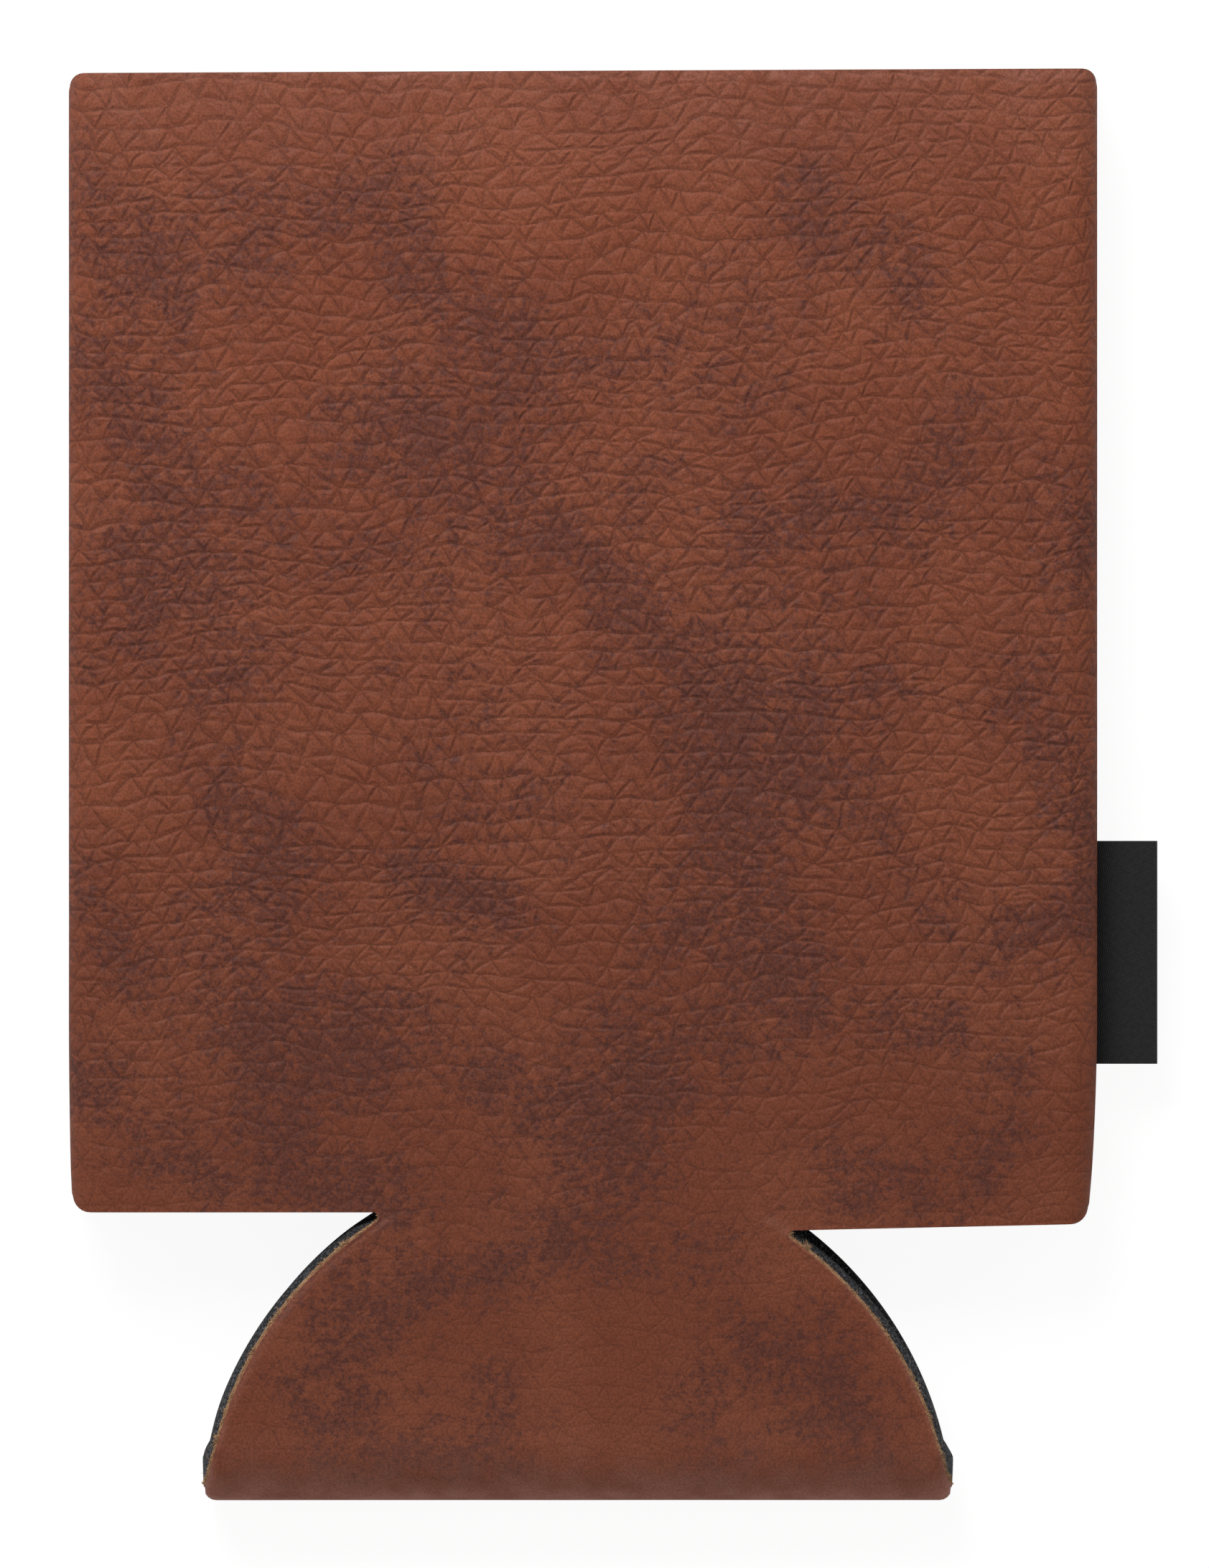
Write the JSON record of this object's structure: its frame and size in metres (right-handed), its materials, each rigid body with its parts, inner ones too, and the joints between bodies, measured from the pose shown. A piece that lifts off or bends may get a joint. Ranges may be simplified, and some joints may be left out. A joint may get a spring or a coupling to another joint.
{
  "type": "can cooler sleeve",
  "caption": "Flat-folding foam-backed leatherette sleeve for a drink can, with a round base folded in half and a bare ribbon loop in its side seam.",
  "frame": {"origin": "under the middle of the body, on the outer face of the back panel, which is the surface that the sleeve lies on", "axes": "+Z out of the back panel towards the front panel, +Y along the body towards the mouth, +X across it towards the seam with the label"},
  "size_m": [0.1059, 0.1391, 0.0116],
  "materials": {
    "leatherette": "matt pebbled brown with darker mottling, charcoal foam inside",
    "ribbon": "matt black woven ribbon, bare",
    "thread": "dark polyester thread"
  },
  "bodies": {
    "root": {"sleeve": "leatherette", "label": "ribbon", "seam_thread_left": "thread", "seam_thread_right": "thread"}
  },
  "joints": []
}
